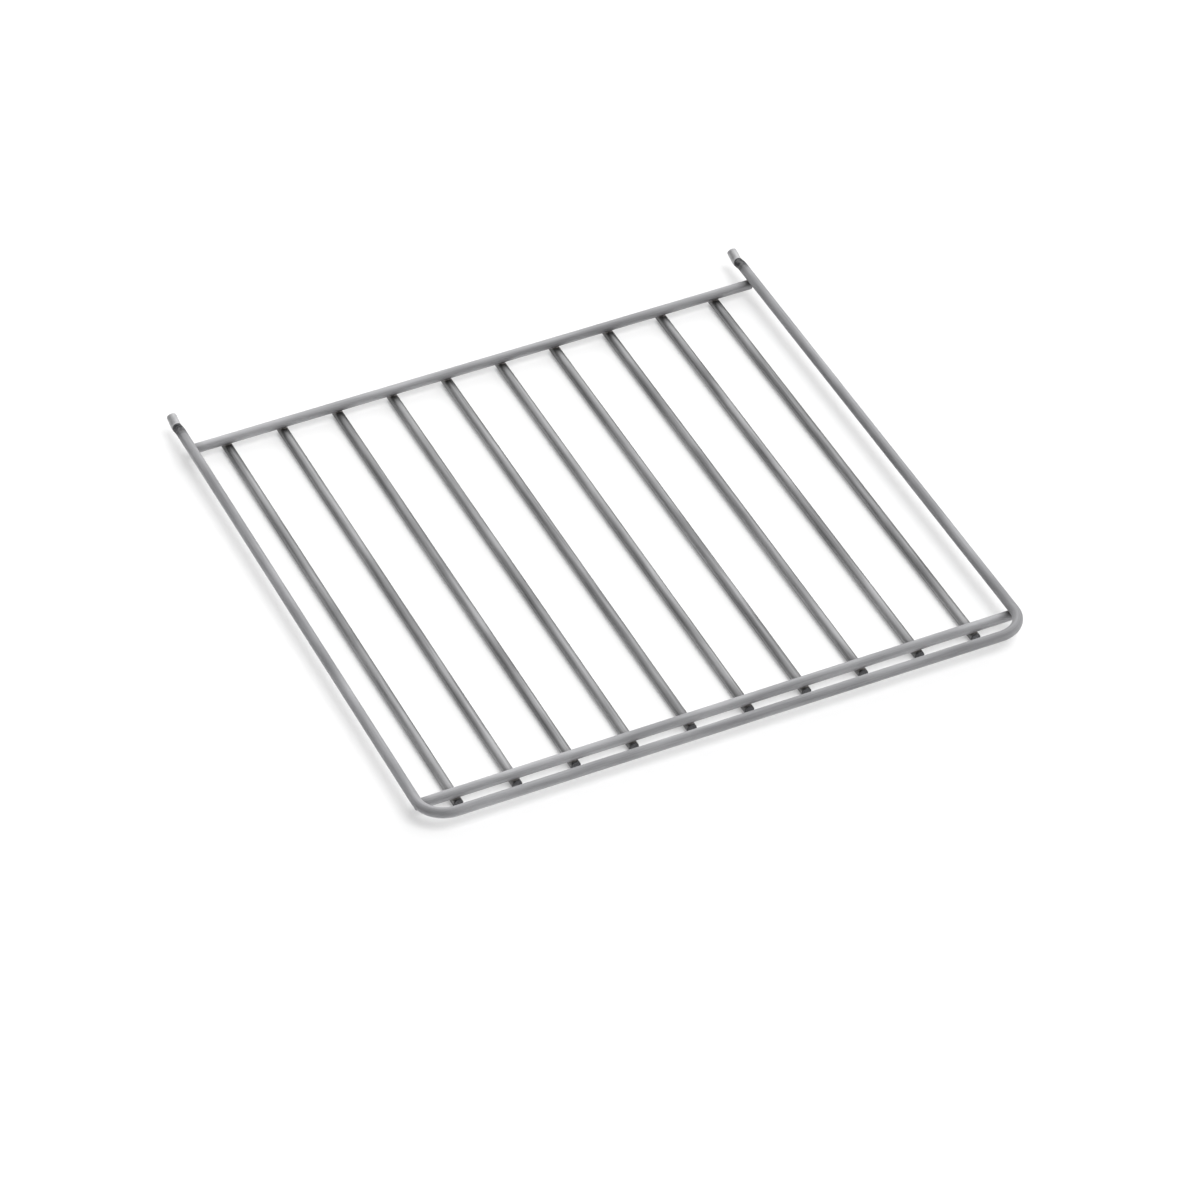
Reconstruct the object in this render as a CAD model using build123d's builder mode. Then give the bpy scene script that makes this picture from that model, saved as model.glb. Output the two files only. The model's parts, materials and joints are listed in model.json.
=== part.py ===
"""Welded wire grill grate: a bent frame wire over two cross wires over a row of straight bars.

X runs across the grate, +Y towards its hooked rear ends, +Z up. The bars lie on Z = 0, and the
origin is under the middle of the grate's box.
"""
import os
from math import atan2, sin

from build123d import *

os.makedirs("parts", exist_ok=True)

# Wire stock, as diameters
frame_wire_diameter = 5.0
cross_wire_diameter = 5.0
bar_diameter = 5.0
cut_chamfer = 0.4  # broken edge at every cut wire end
weld_set_down = 0.25  # how far two crossing wires sink into each other at a weld

# Plan of the grate, between wire centre lines
frame_width = 300.0
cross_spacing = 285.0
front_gap = 16.5  # front cross wire to the frame's front run
corner_radius = 14.0  # bend of the frame wire at its two front corners

# Row of bars
bar_count = 10
bar_side_gap = 20.0  # side wire to the first bar
bar_overhang = 0.5  # bar end past the outer side of a cross wire

# Hooked rear ends of the frame wire, each a shallow dip and a tip that turns up
hook_start = 10.0  # rear cross wire to the start of the dip
dip_run = 6.0
dip_depth = 1.4
dip_bend_radius = 6.0
tip_run = 6.4
tip_rise = 2.2
tip_bend_radius = 3.5

# Levels of the three layers, each set down into the one below it
bar_level = bar_diameter / 2
cross_level = bar_level + (bar_diameter + cross_wire_diameter) / 2 - weld_set_down
frame_level = cross_level + (cross_wire_diameter + frame_wire_diameter) / 2 - weld_set_down

# Places along Y, set so that the whole grate is centred on the origin
tip_angle = atan2(tip_rise, tip_run)
tip_lean = (frame_wire_diameter / 2 - cut_chamfer) * sin(tip_angle)  # the end face leans back
rear_reach = hook_start + dip_run + tip_run + tip_lean
front_reach = front_gap + frame_wire_diameter / 2
front_cross_y = front_reach - (front_reach + cross_spacing + rear_reach) / 2
rear_cross_y = front_cross_y + cross_spacing
front_run_y = front_cross_y - front_gap
dip_start_y = rear_cross_y + hook_start
dip_y = dip_start_y + dip_run
tip_y = dip_y + tip_run

side_x = frame_width / 2
dip_level = frame_level - dip_depth
tip_level = dip_level + tip_rise

# Frame wire: one length bent round both front corners, with a hook formed at each rear end
# Every wire's circle starts at its side, so that the seam stays clear of the welds above and below
left_half = [
    (-side_x, tip_y, tip_level),
    (-side_x, dip_y, dip_level),
    (-side_x, dip_start_y, frame_level),
    (-side_x, front_run_y, frame_level),
]
right_half = [(-x, y, z) for x, y, z in reversed(left_half)]
bend_radii = [tip_bend_radius, dip_bend_radius, corner_radius]

with BuildPart() as frame_wire:
    with BuildLine() as frame_path:
        FilletPolyline(*left_half, *right_half, radius=bend_radii + bend_radii[::-1])
    with BuildSketch(Plane(origin=frame_path.line @ 0, x_dir=(1, 0, 0), z_dir=frame_path.line % 0)):
        Circle(frame_wire_diameter / 2)
    sweep(path=frame_path.line)
    cut_ends = frame_wire.faces().filter_by(GeomType.PLANE)
    chamfer(cut_ends.edges(), cut_chamfer)
frame_wire.part.label = "frame_wire"
export_step(frame_wire.part, "parts/frame_wire.step")

# Bars: straight cut lengths under the cross wires, evenly spaced between the side wires
bar_pitch = (frame_width - 2 * bar_side_gap) / (bar_count - 1)
bar_end_reach = cross_wire_diameter / 2 + bar_overhang
bar_length = cross_spacing + 2 * bar_end_reach
bars = []
for index in range(bar_count):
    bar_end = (bar_side_gap - side_x + index * bar_pitch, front_cross_y - bar_end_reach, bar_level)
    with BuildPart() as bar:
        with BuildSketch(Plane(origin=bar_end, x_dir=(1, 0, 0), z_dir=(0, 1, 0))):
            Circle(bar_diameter / 2)
        extrude(amount=bar_length)
        chamfer(bar.edges().filter_by(GeomType.CIRCLE), cut_chamfer)
    bar.part.label = f"bar_{index + 1:02d}"
    export_step(bar.part, f"parts/{bar.part.label}.step")
    bars.append(bar.part)

# Cross wires: each ends under the side wires' centre lines, with a saddle wherever it is welded
# to the frame wire above it or to a bar below it
cross_places = {"front_cross_wire": front_cross_y, "rear_cross_wire": rear_cross_y}
for label, cross_y in cross_places.items():
    with BuildPart() as cross_wire:
        with BuildSketch(Plane(origin=(-side_x, cross_y, cross_level), x_dir=(0, 1, 0), z_dir=(1, 0, 0))):
            Circle(cross_wire_diameter / 2)
        extrude(amount=frame_width)
        chamfer(cross_wire.edges().filter_by(GeomType.CIRCLE), cut_chamfer)
        add(frame_wire.part, mode=Mode.SUBTRACT)
        add(bars, mode=Mode.SUBTRACT)
    cross_wire.part.label = label
    export_step(cross_wire.part, f"parts/{label}.step")
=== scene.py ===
"""Looks of a welded wire grill grate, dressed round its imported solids, in metres."""
import json

import bpy
import numpy as np
from mathutils import Matrix, Vector


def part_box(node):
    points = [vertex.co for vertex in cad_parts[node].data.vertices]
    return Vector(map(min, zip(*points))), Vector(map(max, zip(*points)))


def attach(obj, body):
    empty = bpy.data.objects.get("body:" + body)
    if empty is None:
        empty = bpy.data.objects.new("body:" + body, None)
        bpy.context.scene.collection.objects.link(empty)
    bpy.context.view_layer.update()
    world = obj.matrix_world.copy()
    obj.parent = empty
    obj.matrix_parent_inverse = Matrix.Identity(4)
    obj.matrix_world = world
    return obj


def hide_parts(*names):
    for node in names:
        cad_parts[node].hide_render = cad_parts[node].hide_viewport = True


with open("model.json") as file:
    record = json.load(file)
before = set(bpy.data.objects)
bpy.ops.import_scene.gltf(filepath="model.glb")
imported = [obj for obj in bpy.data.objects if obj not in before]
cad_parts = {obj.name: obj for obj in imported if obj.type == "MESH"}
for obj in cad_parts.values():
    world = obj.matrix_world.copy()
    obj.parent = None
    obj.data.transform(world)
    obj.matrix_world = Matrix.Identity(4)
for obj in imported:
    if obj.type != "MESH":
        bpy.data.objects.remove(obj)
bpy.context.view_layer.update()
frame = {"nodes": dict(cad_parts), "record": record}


# Frame wire
# One length of cold-drawn steel wire, bent into a U round two front corners. Each free rear end is
# hooked: it dips, then turns up. It lies over both cross wires and is resistance welded to them.
MM = 0.001
wire_radius = frame["record"]["mounts"][0]["dims"]["r_mm"] * MM  # a hook's tip is the bare wire
frame_low, frame_high = np.array(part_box("frame_wire"))
bar_low, bar_high = np.array(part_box("bar_01"))
front_low, front_high = np.array(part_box("front_cross_wire"))
rear_low, rear_high = np.array(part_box("rear_cross_wire"))
set_down = bar_high[2] - front_low[2]  # how far two wires sink into each other at a weld
cross_level = (front_low[2] + front_high[2]) / 2
front_cross_y = (front_low[1] + front_high[1]) / 2
rear_cross_y = (rear_low[1] + rear_high[1]) / 2
side_x = frame_high[0] - wire_radius
front_run_y = frame_low[1] + wire_radius
frame_level = front_high[2] + wire_radius - set_down
corner_radius = 14.0 * MM
hook_start, dip_run, dip_depth, dip_bend = 10.0 * MM, 6.0 * MM, 1.4 * MM, 6.0 * MM
tip_run, tip_rise, tip_bend = 6.4 * MM, 2.2 * MM, 3.5 * MM
cut_edge = 0.55 * MM  # rounding that shearing leaves round a cut end
electrode_flat = 0.10 * MM  # how deep a welding electrode presses the wire
electrode_reach = 2.2 * MM  # half the length of that flat
weld_fade = 4.0 * MM  # how far a weld's heat tint and the painted shade of its crevice reach along the wire
weld_mark_at_side = 0.35  # the weld mark a quarter turn round the wire, as a share of the mark on the side facing the weld, where the painted crevice shade falls
rub_past_bend = 1.5 * MM  # how far a hook's rubbed end runs past the middle of the tip's bend
rub_edge = 0.5 * MM  # how sharply a rubbed end starts
end_shade_reach = 9.0 * MM  # how far the band of painted shade behind a rubbed end reaches
end_face = 0.01  # how much of its rounded edge a rubbed end still shows as torn: the face alone
ring_points = 32
edge_rings, weld_rings, rub_rings = 6, 17, 5  # rings at a cut edge, a weld and the start of a rub
frame_step = 1.5 * MM  # between the other rings
sharp_angle = np.radians(40)


def bent_line(corners, radii, step):
    """Centre line of a bent wire: straight runs, with each corner replaced by the arc of its radius
    that touches both of its runs. Returns points at most a step apart, five or more to an arc, and
    the unit direction at each."""
    corners = np.asarray(corners, float)
    points, directions = [], []
    start = corners[0]
    for corner, after, radius in zip(corners[1:-1], corners[2:], radii):
        into = (corner - start) / np.linalg.norm(corner - start)
        out = (after - corner) / np.linalg.norm(after - corner)
        turn = np.arccos(into @ out)
        run_end = corner - into * radius * np.tan(turn / 2)
        share = np.linspace(0, 1, int(np.linalg.norm(run_end - start) / step) + 2)[:-1, None]
        points.append(start + share * (run_end - start))
        directions.append(np.broadcast_to(into, (len(share), 3)))
        inward = (out - into) - ((out - into) @ into) * into
        inward /= np.linalg.norm(inward)
        angle = np.linspace(0, turn, int(radius * turn / step) + 6)[:-1, None]
        points.append(run_end + radius * (np.sin(angle) * into + (1 - np.cos(angle)) * inward))
        directions.append(np.cos(angle) * into + np.sin(angle) * inward)
        start = corner + out * radius * np.tan(turn / 2)
    last = corners[-1] - start
    share = np.linspace(0, 1, int(np.linalg.norm(last) / step) + 2)[:, None]
    points.append(start + share * last)
    directions.append(np.broadcast_to(last / np.linalg.norm(last), (len(share), 3)))
    return np.concatenate(points), np.concatenate(directions)


def face_list(*groups):
    """One list of faces. A group has an array for each corner of its faces, spread over each other."""
    stacks = (np.stack(np.broadcast_arrays(*corners), -1).reshape(-1, len(corners)) for corners in groups)
    return sum((stack.tolist() for stack in stacks), [])


def wire_mesh(name, points, directions, welds, pressed, shift, rubbed=0.0):
    """Round wire: at distance s along its centre line and angle a round it, the surface is the centre
    at s, plus the radius times cos a to the side and sin a upwards. Near a cut end the radius follows
    a quarter circle of the edge's size. An electrode pressed the wire opposite each weld, from above
    where pressed is 1 and from below where it is -1: there the height is held to a flat, which fades
    with the fourth power of distance. Each end closes on a pole.

    The attribute wire_place holds the same point on the wire made straight, and shift moves it along
    so that no two wires match. weld_tint_and_shade is the nearness of a weld, strongest on the side
    that faces it: heat tint, and painted shade in the crevice between the wires. cut_end_and_shade
    marks what was sheared, and on a plain end its rounded edge too; its dark tint is partly painted
    shade. Where a length is rubbed, rubbed_end is 1 along it, and painted_end_shade, a band of
    painted shade, falls off behind it with the fourth power of distance."""
    travel = np.concatenate([[0], np.cumsum(np.linalg.norm(np.diff(points, axis=0), axis=1))])
    length = travel[-1]
    weld_at = travel[np.linalg.norm(points[:, None] - welds[None], axis=2).argmin(0)]
    edge = cut_edge * (1 - np.cos(np.linspace(0, np.pi / 2, edge_rings)))
    near_weld = (weld_at[:, None] + np.linspace(-1, 1, weld_rings) * weld_fade).ravel()
    near_rub = rubbed + np.linspace(-1, 1, rub_rings) * rub_edge
    stations = np.concatenate([travel, edge, length - edge, near_weld, near_rub, length - near_rub])
    stations = np.unique(np.round(stations[(stations >= 0) & (stations <= length)], 7))
    centre = np.stack([np.interp(stations, travel, points[:, i]) for i in range(3)], 1)
    along = np.stack([np.interp(stations, travel, directions[:, i]) for i in range(3)], 1)
    along /= np.linalg.norm(along, axis=1)[:, None]
    side = np.cross(along, (0, 0, 1))
    side /= np.linalg.norm(side, axis=1)[:, None]
    top = np.cross(side, along)

    angle = np.linspace(0, 2 * np.pi, ring_points, endpoint=False)
    from_end = np.minimum(stations, length - stations)
    edge_share = np.clip(from_end / cut_edge, 0, 1)
    reach = wire_radius - cut_edge * (1 - np.sqrt(1 - (1 - edge_share) ** 2))
    wide = reach[:, None] * np.cos(angle)
    high = reach[:, None] * np.sin(angle)
    pressed = np.broadcast_to(pressed, len(weld_at))
    weld_gap = np.abs(stations[:, None] - weld_at)
    press = electrode_flat * np.exp(-((weld_gap / electrode_reach) ** 4))
    above, below = ((press * (pressed == way)).max(1, keepdims=True) for way in (1, -1))
    high = np.clip(high, below - wire_radius, wire_radius - above)
    shell = centre[:, None] + wide[..., None] * side[:, None] + high[..., None] * top[:, None]

    rings, around = shell.shape[:2]
    ring = np.arange(rings - 1)[:, None] * around
    first, second = np.arange(around), (np.arange(around) + 1) % around
    quads = (ring + first, ring + second, ring + around + second, ring + around + first)
    last = (rings - 1) * around
    start_pole, end_pole = rings * around, rings * around + 1
    faces = face_list(quads, (second, first, start_pole), (last + first, last + second, end_pole))
    vertices = np.concatenate([shell.reshape(-1, 3), centre[[0, -1]]])
    mesh = bpy.data.meshes.new(name)
    mesh.from_pydata(vertices.tolist(), [], faces)

    straight = np.stack(np.broadcast_arrays(wide, high, stations[:, None] + shift), -1).reshape(-1, 3)
    straight_poles = [(0, 0, shift), (0, 0, shift + length)]
    # The weld mark is heat tint plus painted shade: darkest on the side that faces the weld, in the
    # crevice.
    facing = np.clip(weld_mark_at_side - (1 - weld_mark_at_side) * pressed * np.sin(angle)[:, None], 0, 1)
    weld_mark = (np.exp(-((weld_gap / weld_fade) ** 2))[:, None] * facing).max(-1).ravel()
    # A plain end's cut mark takes in its rounded edge too; its dark tint there and on the bar ends is
    # partly painted shade, over the edge's highlight.
    cut = (edge_share < (end_face if rubbed else 1)).astype(float)
    from_rub = from_end - rubbed
    rub = np.clip(0.5 - from_rub / rub_edge, 0, 1) * (rubbed > 0)
    # A band of painted shade behind a rubbed end.
    end_shade = np.exp(-((np.clip(from_rub, 0, None) / end_shade_reach) ** 4)) * (rubbed > 0) * (1 - rub)
    for label, kind, field, values, at_poles in (
        ("wire_place", "FLOAT_VECTOR", "vector", straight, straight_poles),
        ("weld_tint_and_shade", "FLOAT", "value", weld_mark, [0, 0]),
        ("cut_end_and_shade", "FLOAT", "value", np.repeat(cut, around), [1, 1]),
        ("rubbed_end", "FLOAT", "value", np.repeat(rub, around), [0, 0]),
        ("painted_end_shade", "FLOAT", "value", np.repeat(end_shade, around), [0, 0]),
    ):
        values = np.concatenate([values, at_poles]).astype(np.float32).ravel()
        mesh.attributes.new(label, kind, "POINT").data.foreach_set(field, values)
    mesh.shade_smooth()
    mesh.set_sharp_from_angle(angle=sharp_angle)
    return mesh


def linear(colour):
    """Linear RGBA of an sRGB hex colour."""
    srgb = np.array([int(colour[i:i + 2], 16) for i in (1, 3, 5)]) / 255
    rgb = np.where(srgb <= 0.04045, srgb / 12.92, ((srgb + 0.055) / 1.055) ** 2.4)
    return (*rgb.tolist(), 1.0)


def add_node(tree, kind, settings=None, **links):
    """Adds a node, sets its properties, and sets or links each input. An input goes by its name, with
    underscores for spaces, or by an underscore and its number."""
    node = tree.nodes.new(kind)
    for key, value in (settings or {}).items():
        setattr(node, key, value)
    for key, value in links.items():
        name = key.replace("_", " ").strip()
        socket = node.inputs[int(name)] if name.isdigit() else node.inputs[name]
        if isinstance(value, bpy.types.NodeSocket):
            tree.links.new(value, socket)
        else:
            socket.default_value = value
    return node


def new_material(name):
    """A node material that is empty but for its output, with its tree and that output."""
    material = bpy.data.materials.new(name)
    material.use_nodes = True
    material.node_tree.nodes.clear()
    return material, material.node_tree, material.node_tree.nodes.new("ShaderNodeOutputMaterial")


# Cold-drawn low-carbon steel wire, plated to a satin grey. The die leaves fine lines along the wire, the
# plating clouds a little, and a rubbed end is lighter. Near a weld it darkens with heat tint and painted
# shade in the crevice, behind a rubbed end with a band of painted shade, and a sheared end is darker and
# coarser, its darkness partly painted shade.
draw_line_width = 0.7 * MM  # real draw lines are nearer 0.1 mm: drawn coarser so that they show
draw_line_length = 55.0 * MM
draw_line_depth = 0.03 * MM
cloud_width, cloud_length = 5.0 * MM, 40.0 * MM
grit, grit_depth = 0.35 * MM, 0.05 * MM
patch_width = 2.2 * MM  # of the uneven rubbing and staining at an end
worn_roughness = 0.62  # of a rubbed or sheared end
mark_tints = (  # each mark's strength and colour, from the first made to the last
    # heat tint, with painted shade in the weld's crevice
    ("weld_tint_and_shade", 0.8, "#4C4A48"),
    # painted shade behind a rubbed end
    ("painted_end_shade", 1.0, "#444446"),
    ("rubbed_end", 0.85, "#C2C2C3"),
    # sheared steel, darker and coarser, and partly painted shade
    ("cut_end_and_shade", 1.0, "#545457"),
)


def drawn_steel(name, dark, light, smooth, rough, edge="#FFFFFF"):
    """Drawn wire, patterned in the coordinates of the wire made straight. Its tone runs from dark to
    light over clouds plus draw lines, and its roughness from smooth to rough over the lines. Then the
    marks tint it, in patches at a rubbed end and by its grain at a sheared one. Edge tints the
    reflections that graze the wire, which bare steel dims and plating does not."""
    steel, tree, output = new_material(name)
    place = add_node(tree, "ShaderNodeAttribute", {"attribute_name": "wire_place"}).outputs["Vector"]
    marks = {
        label: add_node(tree, "ShaderNodeAttribute", {"attribute_name": label}).outputs["Fac"]
        for label, _, _ in mark_tints
    }
    line_scale = (1 / draw_line_width, 1 / draw_line_width, 1 / draw_line_length)
    lines_at = add_node(tree, "ShaderNodeMapping", Vector=place, Scale=line_scale).outputs[0]
    lines = add_node(tree, "ShaderNodeTexNoise", Vector=lines_at, Scale=1.0, Detail=3.0,
                     Roughness=0.6).outputs["Fac"]
    cloud_scale = (1 / cloud_width, 1 / cloud_width, 1 / cloud_length)
    clouds_at = add_node(tree, "ShaderNodeMapping", Vector=place, Scale=cloud_scale).outputs[0]
    clouds = add_node(tree, "ShaderNodeTexNoise", Vector=clouds_at, Scale=1.0, Detail=2.0).outputs["Fac"]
    grain = add_node(tree, "ShaderNodeTexNoise", Vector=place, Scale=1 / grit, Detail=2.0).outputs["Fac"]
    patches = add_node(tree, "ShaderNodeTexNoise", Vector=place, Scale=1 / patch_width,
                       Detail=1.0).outputs["Fac"]

    patchy = add_node(tree, "ShaderNodeMapRange", {"clamp": True}, Value=patches, From_Min=0.35,
                      From_Max=0.6, To_Min=0.6, To_Max=1.0).outputs[0]
    torn = add_node(tree, "ShaderNodeMapRange", {"clamp": True}, Value=grain, From_Min=0.35,
                    From_Max=0.65, To_Min=0.5, To_Max=1.0).outputs[0]
    for label, uneven in (("rubbed_end", patchy), ("painted_end_shade", patchy), ("cut_end_and_shade", torn)):
        marks[label] = add_node(tree, "ShaderNodeMath", {"operation": "MULTIPLY"}, _0=marks[label],
                                _1=uneven).outputs[0]

    mottle = add_node(tree, "ShaderNodeMath", {"operation": "ADD"}, _0=lines, _1=clouds).outputs[0]
    mottle = add_node(tree, "ShaderNodeMapRange", {"clamp": True}, Value=mottle, From_Min=0.75,
                      From_Max=1.25).outputs[0]
    colour = add_node(tree, "ShaderNodeMixRGB", Fac=mottle, Color1=linear(dark),
                      Color2=linear(light)).outputs[0]
    for label, strength, tint in mark_tints:
        share = add_node(tree, "ShaderNodeMath", {"operation": "MULTIPLY"}, _0=marks[label],
                         _1=strength).outputs[0]
        colour = add_node(tree, "ShaderNodeMixRGB", Fac=share, Color1=colour,
                          Color2=linear(tint)).outputs[0]

    gloss = add_node(tree, "ShaderNodeMapRange", {"clamp": True}, Value=lines, From_Min=0.3,
                     From_Max=0.7, To_Min=smooth, To_Max=rough).outputs[0]
    worn = add_node(tree, "ShaderNodeMath", {"operation": "MAXIMUM"}, _0=marks["cut_end_and_shade"],
                    _1=marks["rubbed_end"]).outputs[0]
    roughness = add_node(tree, "ShaderNodeMapRange", {"clamp": True}, Value=worn, To_Min=gloss,
                         To_Max=worn_roughness).outputs[0]
    line_bump = add_node(tree, "ShaderNodeBump", Strength=0.2, Distance=draw_line_depth,
                         Height=lines).outputs[0]
    grain_strength = add_node(tree, "ShaderNodeMapRange", {"clamp": True}, Value=worn, To_Min=0.08,
                              To_Max=0.6).outputs[0]
    bump = add_node(tree, "ShaderNodeBump", Strength=grain_strength, Distance=grit_depth, Height=grain,
                    Normal=line_bump).outputs[0]
    surface = add_node(tree, "ShaderNodeBsdfPrincipled", Base_Color=colour, Metallic=1.0,
                       Roughness=roughness, Normal=bump, Specular_Tint=linear(edge))
    tree.links.new(surface.outputs[0], output.inputs[0])
    return steel


satin_steel = drawn_steel("satin_drawn_steel_wire", "#A3A3A5", "#C5C5C7", 0.74, 0.86)


def add_piece(name, mesh, material, *nodes):
    """Puts a finished mesh in the scene as a piece of the grate that stands for the given solids."""
    piece = bpy.data.objects.new(name, mesh)
    mesh.materials.append(material)
    bpy.context.scene.collection.objects.link(piece)
    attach(piece, "root")
    if nodes:
        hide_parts(*nodes)


dip_start_y = rear_cross_y + hook_start
dip_y, dip_level = dip_start_y + dip_run, frame_level - dip_depth
left_half = [
    (-side_x, dip_y + tip_run, dip_level + tip_rise),
    (-side_x, dip_y, dip_level),
    (-side_x, dip_start_y, frame_level),
    (-side_x, front_run_y, frame_level),
]
right_half = [(-x, y, z) for x, y, z in reversed(left_half)]
bends = [tip_bend, dip_bend, corner_radius]
frame_line = bent_line(left_half + right_half, bends + bends[::-1], frame_step)
frame_welds = np.array([
    (x, y, frame_level) for x in (-side_x, side_x) for y in (front_cross_y, rear_cross_y)
])
rubbed_tip = np.hypot(tip_run, tip_rise) + rub_past_bend
frame_mesh = wire_mesh("bent_frame_wire", *frame_line, frame_welds, 1, 0.0, rubbed_tip)
add_piece("bent_frame_wire", frame_mesh, satin_steel, "frame_wire")


# Bars
# Straight cut lengths of drawn wire of the same thickness, sheared at both ends and laid side by side.
# They are welded to the undersides of the cross wires, and the grate lies on them.
bar_names = sorted(name for name in frame["nodes"] if name.startswith("bar_"))
bar_places = np.array([np.mean(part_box(name), axis=0) for name in bar_names])
straight_step = 4.0 * MM  # between the rings of a straight wire


def straight_line(start, end, step):
    """Points evenly spaced from start to end, at most a step apart, and the one direction of them all."""
    start, end = np.asarray(start, float), np.asarray(end, float)
    share = np.linspace(0, 1, int(np.linalg.norm(end - start) / step) + 2)[:, None]
    direction = (end - start) / np.linalg.norm(end - start)
    return start + share * (end - start), np.broadcast_to(direction, (len(share), 3))


# Drawn steel wire for the bars, glossier than the satin frame. Its darker tone and its dimmer grazing
# edge are painted shade: a darker copy of the same steel, for the shade the bars get down by the floor.
# Under the room's light it shows a dark and a light side.
bar_steel_painted_darker = drawn_steel("painted_darker_drawn_steel_wire", "#787879", "#A3A3A4", 0.42, 0.52, "#CCCCCC")
for number, (name, (x, _, z)) in enumerate(zip(bar_names, bar_places), start=1):
    bar_line = straight_line((x, bar_low[1], z), (x, bar_high[1], z), straight_step)
    bar_welds = np.array([(x, front_cross_y, z), (x, rear_cross_y, z)])
    bar_mesh = wire_mesh(f"drawn_{name}", *bar_line, bar_welds, -1, 1.0 * number)
    add_piece(f"drawn_{name}", bar_mesh, bar_steel_painted_darker, name)


# Cross wires
# Two straight lengths of drawn wire under the frame and over the bars. Each ends under the side wires'
# centre lines, and every crossing is a resistance weld: bars below it, the frame above its two ends.
cross_shift = 20.0  # past the shifts of the frame wire and the bars
cross_places = (("front_cross_wire", front_cross_y), ("rear_cross_wire", rear_cross_y))

# Satin drawn steel wire like the frame's, a little smoother, and painted paler: a lit copy of the frame's
# steel, its paler tone painted light that gives a light upper edge.
cross_steel_painted_paler = drawn_steel("painted_paler_satin_drawn_steel_wire", "#A6A6A8", "#C7C7C9", 0.66, 0.78)
for number, (name, cross_y) in enumerate(cross_places):
    ends = [(x, cross_y, cross_level) for x in (front_low[0], front_high[0])]
    cross_line = straight_line(*ends, straight_step)
    cross_welds = np.array([(x, cross_y, cross_level) for x in (*bar_places[:, 0], -side_x, side_x)])
    pressed = np.array([1] * len(bar_places) + [-1, -1])
    cross_mesh = wire_mesh(f"drawn_{name}", *cross_line, cross_welds, pressed, cross_shift + number)
    add_piece(f"drawn_{name}", cross_mesh, cross_steel_painted_paler, name)


# Weld flash
# Where two wires were pressed together and welded, a little steel is squeezed out of the joint and sets
# as a narrow collar that fills the crevice between them.
flash_radius = 1.75 * MM  # of a collar at mid height
flash_flare = 0.45 * MM  # how much further it reaches where it meets a wire
flash_sunk = 0.06 * MM  # how deep its rims lie in the wires
flash_lumpiness = 0.09
flash_rows, flash_around = 7, 28
pole_height = 0.8 * wire_radius  # of the pole that closes a collar, from its wire's centre line


def flash_mesh(name, centres, low_level, high_level, low_along_y, seed, ends=0.0):
    """Collars between crossing wires. At angle a round a crossing and height t from the lower wire to
    the upper, the collar's reach is a circle with two, three and four lumps on it, plus a flare that
    grows with the square of the distance from mid height. Its height runs from the lower wire's top to
    the upper wire's underside at that reach. Both ends close on a pole. Where the lower wire ends at
    the crossing, ends is the side it ends on, and the collar stops just short of that end."""
    random = np.random.default_rng(seed)
    angle = np.linspace(0, 2 * np.pi, flash_around, endpoint=False)[:, None]
    share = np.linspace(0, 1, flash_rows)
    count = len(centres)
    phase = random.uniform(0, 2 * np.pi, (3, count, 1, 1))
    lumps = sum(np.sin((k + 2) * angle + phase[k]) / (k + 2) for k in range(3))
    reach = flash_radius * (1 + flash_lumpiness * lumps) + flash_flare * (2 * share - 1) ** 2
    x, y = reach * np.cos(angle), reach * np.sin(angle)
    side = np.broadcast_to(ends, count)[:, None, None]
    x = np.where(side == 0, x, side * np.minimum(side * x, -cut_edge))
    across_low, across_high = (x, y) if low_along_y else (y, x)
    floor = low_level + np.sqrt(wire_radius**2 - across_low**2) - flash_sunk
    roof = high_level - np.sqrt(wire_radius**2 - across_high**2) + flash_sunk
    centre_x, centre_y = centres.T[:, :, None, None]
    shell = np.stack([x + centre_x, y + centre_y, floor + share * (roof - floor)], -1)
    middle = centres - np.column_stack([side[:, 0, 0] * flash_radius / 2, np.zeros(count)])
    low_pole = np.column_stack([middle, np.full(count, low_level + pole_height)])
    high_pole = np.column_stack([middle, np.full(count, high_level - pole_height)])

    collar = np.arange(count)[:, None, None] * flash_around
    column = np.arange(flash_around)[:, None]
    corner = (collar + column) * flash_rows
    beside = (collar + (column + 1) % flash_around) * flash_rows
    row, top_row = np.arange(flash_rows - 1), flash_rows - 1
    pole = count * flash_around * flash_rows + np.arange(count)[:, None, None]
    quads = (corner + row, beside + row, beside + row + 1, corner + row + 1)
    high_fan = (corner + top_row, beside + top_row, pole + count)
    vertices = np.concatenate([shell.reshape(-1, 3), low_pole, high_pole])
    mesh = bpy.data.meshes.new(name)
    mesh.from_pydata(vertices.tolist(), [], face_list(quads, (beside, corner, pole), high_fan))
    mesh.shade_smooth()
    return mesh


# Resistance weld flash on plated steel: once-molten, dull grey-brown, slightly lumpy.
flash_lump, flash_lump_depth = 0.5 * MM, 0.08 * MM
flash_steel, tree, output = new_material("resistance_weld_flash")
place = add_node(tree, "ShaderNodeTexCoord").outputs["Object"]
lumps = add_node(tree, "ShaderNodeTexNoise", Vector=place, Scale=1 / flash_lump, Detail=3.0).outputs["Fac"]
colour = add_node(tree, "ShaderNodeMixRGB", Fac=lumps, Color1=linear("#6F6B67"),
                  Color2=linear("#94918F")).outputs[0]
bump = add_node(tree, "ShaderNodeBump", Strength=0.5, Distance=flash_lump_depth, Height=lumps).outputs[0]
surface = add_node(tree, "ShaderNodeBsdfPrincipled", Base_Color=colour, Metallic=1.0, Roughness=0.5,
                   Normal=bump)
tree.links.new(surface.outputs[0], output.inputs[0])

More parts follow.
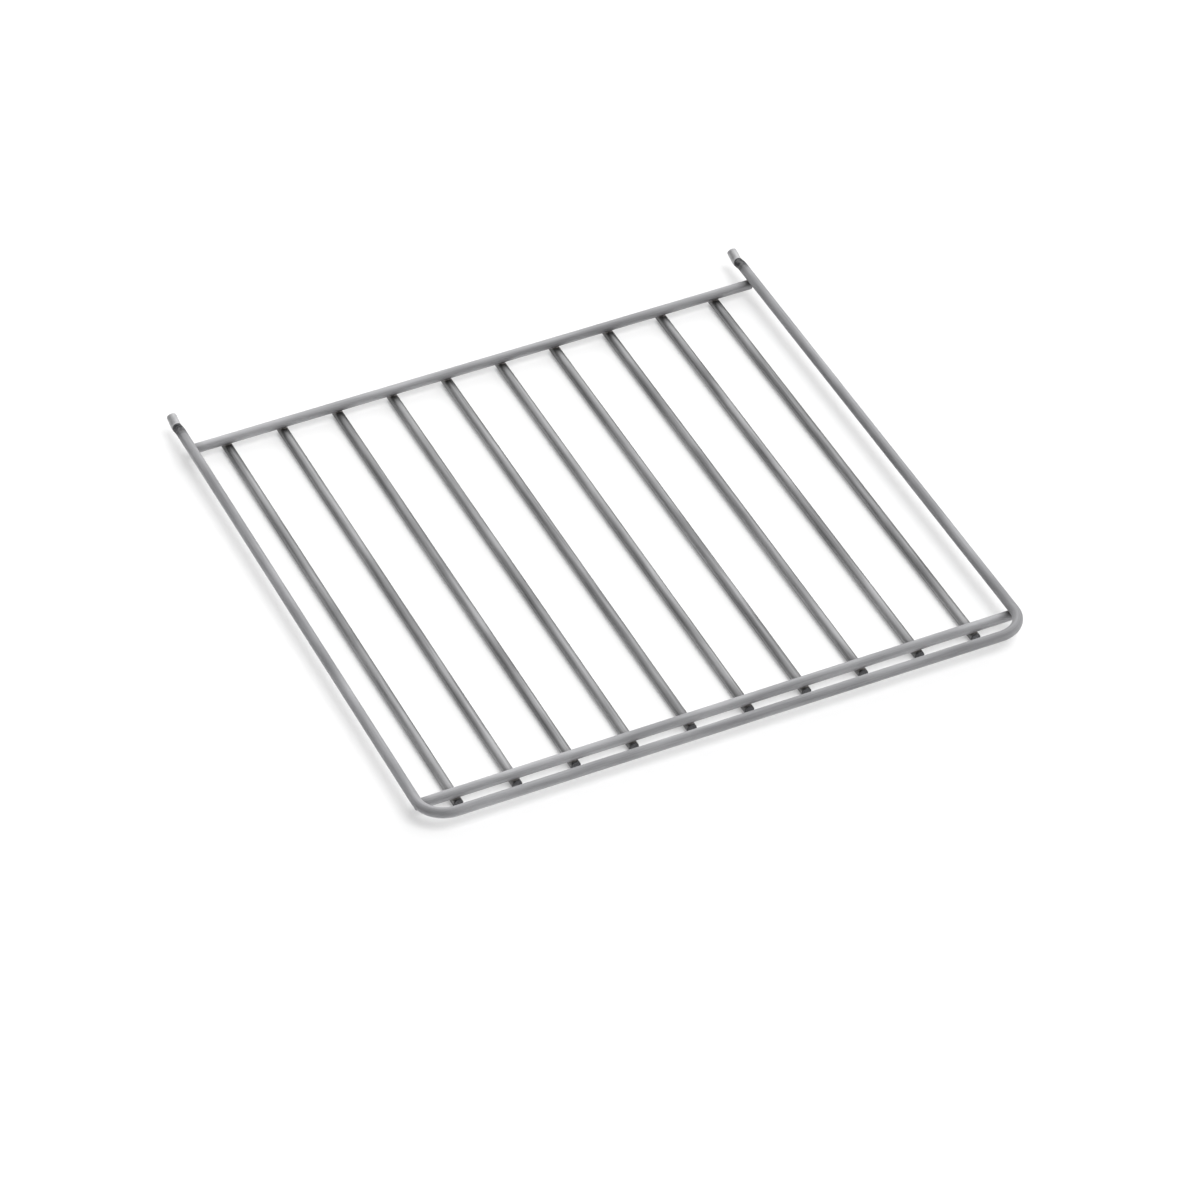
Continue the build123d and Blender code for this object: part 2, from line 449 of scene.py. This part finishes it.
bar_crossings = np.array([(x, y) for x in bar_places[:, 0] for y in (front_cross_y, rear_cross_y)])
bar_flash = flash_mesh("bar_weld_flash", bar_crossings, bar_places[0, 2], cross_level, True, 3)
add_piece("bar_weld_flash", bar_flash, flash_steel)
frame_sides = np.sign(frame_welds[:, 0])
frame_flash = flash_mesh("frame_weld_flash", frame_welds[:, :2], cross_level, frame_level, False, 5,
                         frame_sides)
add_piece("frame_weld_flash", frame_flash, flash_steel)


# Stage
# White paper on the floor and far around, under soft overhead light. The room is brightest to the right
# and behind, and dim towards the front left. A long lens looks down on the grate.
photo_pixels = 1200
focal_pixels = 5745.3
sensor = 36.0
azimuth, elevation, roll = np.radians([-22.366, 39.953, -2.492])
camera_place = (-0.79898, -1.95060, 1.72861)

flat = np.cos(elevation)
back = np.array([np.sin(azimuth) * flat, -np.cos(azimuth) * flat, np.sin(elevation)])
level = np.array([np.cos(azimuth), np.sin(azimuth), 0.0])
upward = np.cross(back, level)
right = np.cos(roll) * level + np.sin(roll) * upward
upward = np.cos(roll) * upward - np.sin(roll) * level
camera = bpy.data.objects.new("camera", bpy.data.cameras.new("camera"))
camera.data.sensor_width = sensor
camera.data.lens = sensor * focal_pixels / photo_pixels
pose = np.eye(4)
pose[:3] = np.column_stack([right, upward, back, camera_place])
camera.matrix_world = Matrix(pose.tolist())
bpy.context.scene.collection.objects.link(camera)
bpy.context.scene.camera = camera

floor_half = 12.0
floor_mesh = bpy.data.meshes.new("floor")
floor_corners = np.array([(-1, -1, 0), (1, -1, 0), (1, 1, 0), (-1, 1, 0)]) * floor_half
floor_mesh.from_pydata(floor_corners.tolist(), [], [(0, 1, 2, 3)])

# The backdrop is an upright ring: a circle round the grate, carried up by the backdrop's height.
backdrop_height = 1.8
backdrop_sides = 96
backdrop_mesh = bpy.data.meshes.new("backdrop")
turn = np.linspace(0, 2 * np.pi, backdrop_sides, endpoint=False)
foot = np.stack([floor_half * np.cos(turn), floor_half * np.sin(turn), np.zeros(backdrop_sides)], 1)
wall = np.concatenate([foot, foot + (0, 0, backdrop_height)])
here, beside = np.arange(backdrop_sides), (np.arange(backdrop_sides) + 1) % backdrop_sides
wall_faces = face_list((here, here + backdrop_sides, beside + backdrop_sides, beside))
backdrop_mesh.from_pydata(wall.tolist(), [], wall_faces)


# Matt white paper: no gloss at all, and white to the eye and in the metal, with the grate's shadow on it.
def white_paper(name, colour, lift):
    """Matt paper of one colour, lifted by a share of plain white where it is seen or mirrored."""
    paper, tree, output = new_material(name)
    matt = add_node(tree, "ShaderNodeBsdfDiffuse", Color=linear(colour))
    path = add_node(tree, "ShaderNodeLightPath").outputs
    seen = path["Is Camera Ray"]
    for ray in ("Is Glossy Ray", "Is Transmission Ray"):
        seen = add_node(tree, "ShaderNodeMath", {"operation": "MAXIMUM"}, _0=seen, _1=path[ray]).outputs[0]
    share = add_node(tree, "ShaderNodeMath", {"operation": "MULTIPLY"}, _0=seen, _1=lift)
    glow = add_node(tree, "ShaderNodeEmission", Color=(1, 1, 1, 1), Strength=share.outputs[0])
    both = add_node(tree, "ShaderNodeAddShader", _0=matt.outputs[0], _1=glow.outputs[0])
    tree.links.new(both.outputs[0], output.inputs[0])
    return paper


for mesh, paper in (
    (floor_mesh, white_paper("white_paper_floor", "#C4C4C4", 0.26)),
    (backdrop_mesh, white_paper("white_paper_backdrop", "#606060", 0.9)),
):
    mesh.materials.append(paper)
    stage_piece = bpy.data.objects.new(mesh.name, mesh)
    bpy.context.scene.collection.objects.link(stage_piece)

# The overhead light casts the shadows on the paper. The metal mirrors the paper and the room instead.
softbox_direction = Vector((0.14, -0.58, 1.0))
softbox = bpy.data.objects.new("overhead_softbox", bpy.data.lights.new("overhead_softbox", "SUN"))
softbox.data.energy = 2.2
softbox.data.angle = np.radians(30)
softbox.rotation_euler = softbox_direction.to_track_quat("Z", "Y").to_euler()
softbox.visible_glossy = False
bpy.context.scene.collection.objects.link(softbox)

# The room's light is a level that rises evenly towards one direction, and it never falls under a least.
room_slope, room_level, room_least = (1.1, 0.8, 0.6), 0.54, 0.05
world = bpy.data.worlds.new("studio")
world.use_nodes = True
tree = world.node_tree
tree.nodes.clear()
output = tree.nodes.new("ShaderNodeOutputWorld")
direction = add_node(tree, "ShaderNodeTexCoord").outputs["Generated"]
room = add_node(tree, "ShaderNodeVectorMath", {"operation": "DOT_PRODUCT"}, _0=direction, _1=room_slope)
room = add_node(tree, "ShaderNodeMath", {"operation": "ADD"}, _0=room.outputs["Value"], _1=room_level)
room = add_node(tree, "ShaderNodeMath", {"operation": "MAXIMUM"}, _0=room.outputs[0], _1=room_least)
shade = add_node(tree, "ShaderNodeBackground", Color=(1, 1, 1, 1), Strength=room.outputs[0])
tree.links.new(shade.outputs[0], output.inputs[0])
bpy.context.scene.world = world
bpy.context.scene.view_settings.view_transform = "Standard"
